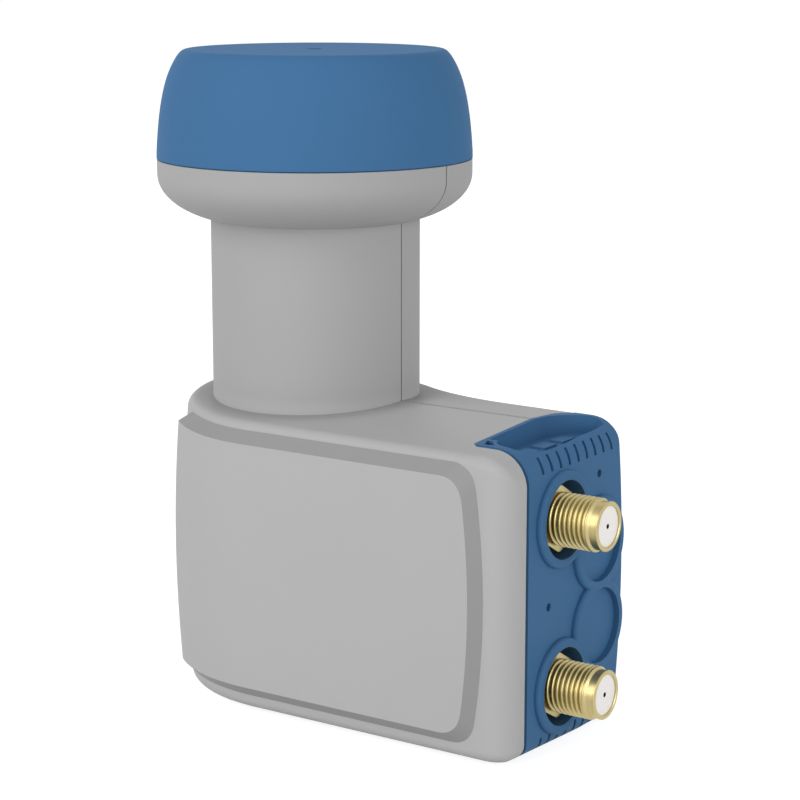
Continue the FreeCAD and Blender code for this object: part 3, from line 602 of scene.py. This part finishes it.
def studioPaper(look):
    # seen directly it is nearly white and keeps the shadow, and it lights the part as plain paper does
    paper = bpy.data.materials.new("studioPaper")
    paper.use_nodes = True
    tree = paper.node_tree
    principled = tree.nodes["Principled BSDF"]
    principled.inputs["Roughness"].default_value = look["roughness"]
    principled.inputs["Specular IOR Level"].default_value = 0.0
    glow = addNode(tree, "ShaderNodeEmission", Color=roomLook["white"])
    looked = seenDirectly(tree)
    change = look["seenColour"] - look["colour"]
    feed(tree, principled.inputs["Base Color"], addMath(tree, "MULTIPLY_ADD", looked, change, look["colour"]))
    feed(tree, glow.inputs["Strength"], addMath(tree, "MULTIPLY", looked, look["ownLight"]))
    both = addNode(tree, "ShaderNodeAddShader")
    tree.links.new(principled.outputs[0], both.inputs[0])
    tree.links.new(glow.outputs[0], both.inputs[1])
    tree.links.new(both.outputs[0], tree.nodes["Material Output"].inputs["Surface"])
    return paper


deselectAll()
bpy.ops.mesh.primitive_plane_add(size=floorLook["size"], location=(0, 0, 0))
floor = bpy.context.active_object
settle(floor, "studioFloor")
floor.data.materials.append(studioPaper(floorLook))

world = bpy.data.worlds.new("studioRoom")
bpy.context.scene.world = world
world.use_nodes = True
tree = world.node_tree
room = tree.nodes["Background"]
room.inputs["Color"].default_value = roomLook["white"]
room.inputs["Strength"].default_value = roomLook["fill"]
seen = addNode(tree, "ShaderNodeBackground", Color=roomLook["white"], Strength=roomLook["seen"])
choose = addNode(tree, "ShaderNodeMixShader")
tree.links.new(seenDirectly(tree), choose.inputs[0])
tree.links.new(room.outputs[0], choose.inputs[1])
tree.links.new(seen.outputs[0], choose.inputs[2])
tree.links.new(choose.outputs[0], tree.nodes["World Output"].inputs["Surface"])

# places in metres, powers in watts; the back window gives no glint
lamps = {
    "keyWindow": {"at": (-0.5, -1.28, 0.8), "aim": (0.01, 0, 0.06), "wide": 1.2, "power": 13.1,
                  "glint": True},
    "sideWindow": {"at": (1.4, -0.35, 0.45), "aim": (0.02, 0, 0.05), "wide": 0.9, "power": 7.3,
                   "glint": True},
    "backWindow": {"at": (-0.62, 0.86, 0.8), "aim": (0.01, 0, 0.056), "wide": 0.28, "power": 3.0,
                   "glint": False},
}
for name, lamp in lamps.items():
    light = bpy.data.lights.new(name, "AREA")
    light.shape = "SQUARE"
    light.size = lamp["wide"]
    light.energy = lamp["power"]
    holder = bpy.data.objects.new(name, light)
    bpy.context.scene.collection.objects.link(holder)
    holder.location = lamp["at"]
    holder.visible_glossy = lamp["glint"]
    towards = Vector(lamp["aim"]) - Vector(lamp["at"])
    holder.rotation_euler = towards.to_track_quat("-Z", "Y").to_euler()

cameraLook = {"at": (0.260393, -0.353238, 0.145614), "turn": (78.4241, 0.0, 34.2833), "lens": 103.533,
              "sensor": 36.0, "near": 0.01, "far": 100.0}
eye = bpy.data.objects.new("photoCamera", bpy.data.cameras.new("photoCamera"))
bpy.context.scene.collection.objects.link(eye)
eye.location = cameraLook["at"]
eye.rotation_euler = [math.radians(angle) for angle in cameraLook["turn"]]
eye.data.lens = cameraLook["lens"]
eye.data.sensor_width = cameraLook["sensor"]
eye.data.clip_start = cameraLook["near"]
eye.data.clip_end = cameraLook["far"]
bpy.context.scene.camera = eye
bpy.context.scene.view_settings.view_transform = "Standard"
print("studio, lamps and camera ready")
